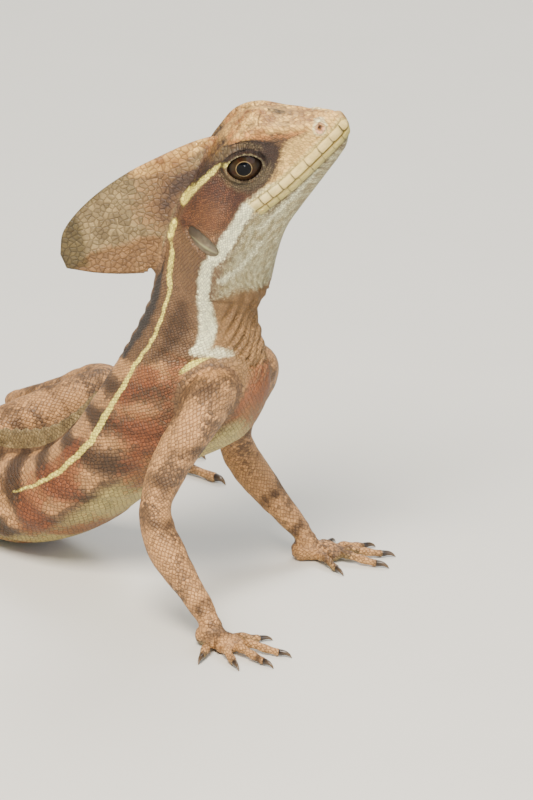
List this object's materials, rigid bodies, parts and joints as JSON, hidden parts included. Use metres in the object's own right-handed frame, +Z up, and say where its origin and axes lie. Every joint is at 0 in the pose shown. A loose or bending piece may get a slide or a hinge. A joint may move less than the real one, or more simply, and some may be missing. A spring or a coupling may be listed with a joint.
{
  "type": "basilisk lizard",
  "caption": "Life-size common basilisk, resting on its belly, hands and feet with the crested head raised and turned, and the long tail laid out in curves.",
  "frame": {"origin": "middle of the model's footprint, on the surface it rests on", "axes": "+X from the tip of the tail towards the head, +Y to the animal's left, +Z up"},
  "size_m": [0.6276, 0.1686, 0.1265],
  "materials": {
    "head_skin": "small keeled scales, dry and matt",
    "jaw_skin": "smooth plates along the lip, matt scales below",
    "crest_skin": "thin skin with flat many-sided scales, matt",
    "body_skin": "small overlapping scales, matt with a slight sheen",
    "tail_skin": "keeled scales in rings, matt",
    "limb_skin": "small keeled scales, matt",
    "eye": "wet and glossy",
    "eardrum": "thin stretched skin, satin"
  },
  "bodies": {
    "root": {"head": "head_skin", "lower_jaw": "jaw_skin", "head_crest": "crest_skin", "eye_left": "eye", "eye_right": "eye", "ear_left": "eardrum", "ear_right": "eardrum", "neck": "body_skin", "torso": "body_skin", "dorsal_crest": "crest_skin", "tail_1": "tail_skin", "tail_2": "tail_skin", "tail_3": "tail_skin", "tail_4": "tail_skin", "tail_crest": "crest_skin", "upper_arm_left": "limb_skin", "forearm_left": "limb_skin", "hand_left": "limb_skin", "thigh_left": "limb_skin", "shin_left": "limb_skin", "foot_left": "limb_skin", "upper_arm_right": "limb_skin", "forearm_right": "limb_skin", "hand_right": "limb_skin", "thigh_right": "limb_skin", "shin_right": "limb_skin", "foot_right": "limb_skin"}
  },
  "joints": []
}
